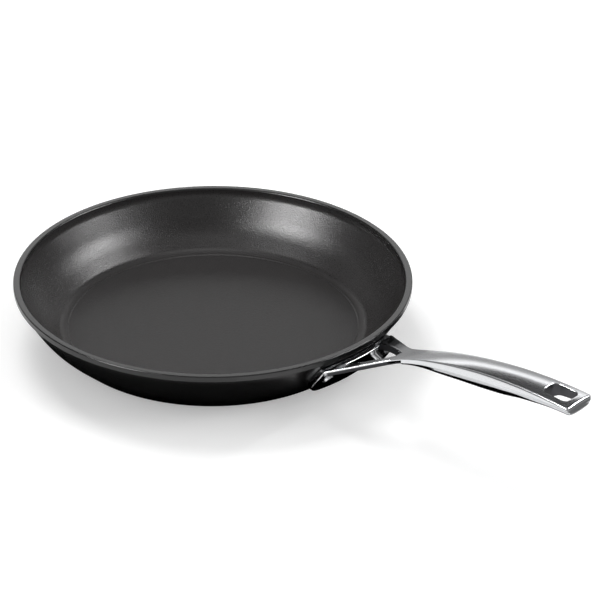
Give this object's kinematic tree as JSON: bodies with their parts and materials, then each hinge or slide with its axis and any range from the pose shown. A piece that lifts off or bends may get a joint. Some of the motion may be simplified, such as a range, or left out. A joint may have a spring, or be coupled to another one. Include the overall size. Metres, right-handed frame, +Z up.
{
  "type": "omelette pan",
  "caption": "Shallow round non-stick pan with flared sides, a flat rim, a bonded induction base and a riveted, forked metal handle with a hang hole.",
  "frame": {"origin": "centre of the underside of the base, where the pan rests on the hob", "axes": "+Z up, out of the pan's mouth; +X along the handle, from the pan's axis towards the hang hole; +Y to the left of the handle seen from the pan"},
  "size_m": [0.4805, 0.29, 0.0801],
  "materials": {
    "non_stick_aluminium": "hard-anodised, dark grey non-stick coating, satin",
    "base_steel": "turned and brushed",
    "handle_steel": "cast, satin on top and polished on the sides",
    "rivet_steel": "polished"
  },
  "bodies": {
    "root": {"pan_body": "non_stick_aluminium", "induction_base": "base_steel", "handle": "handle_steel", "rivets": "rivet_steel"}
  },
  "joints": []
}
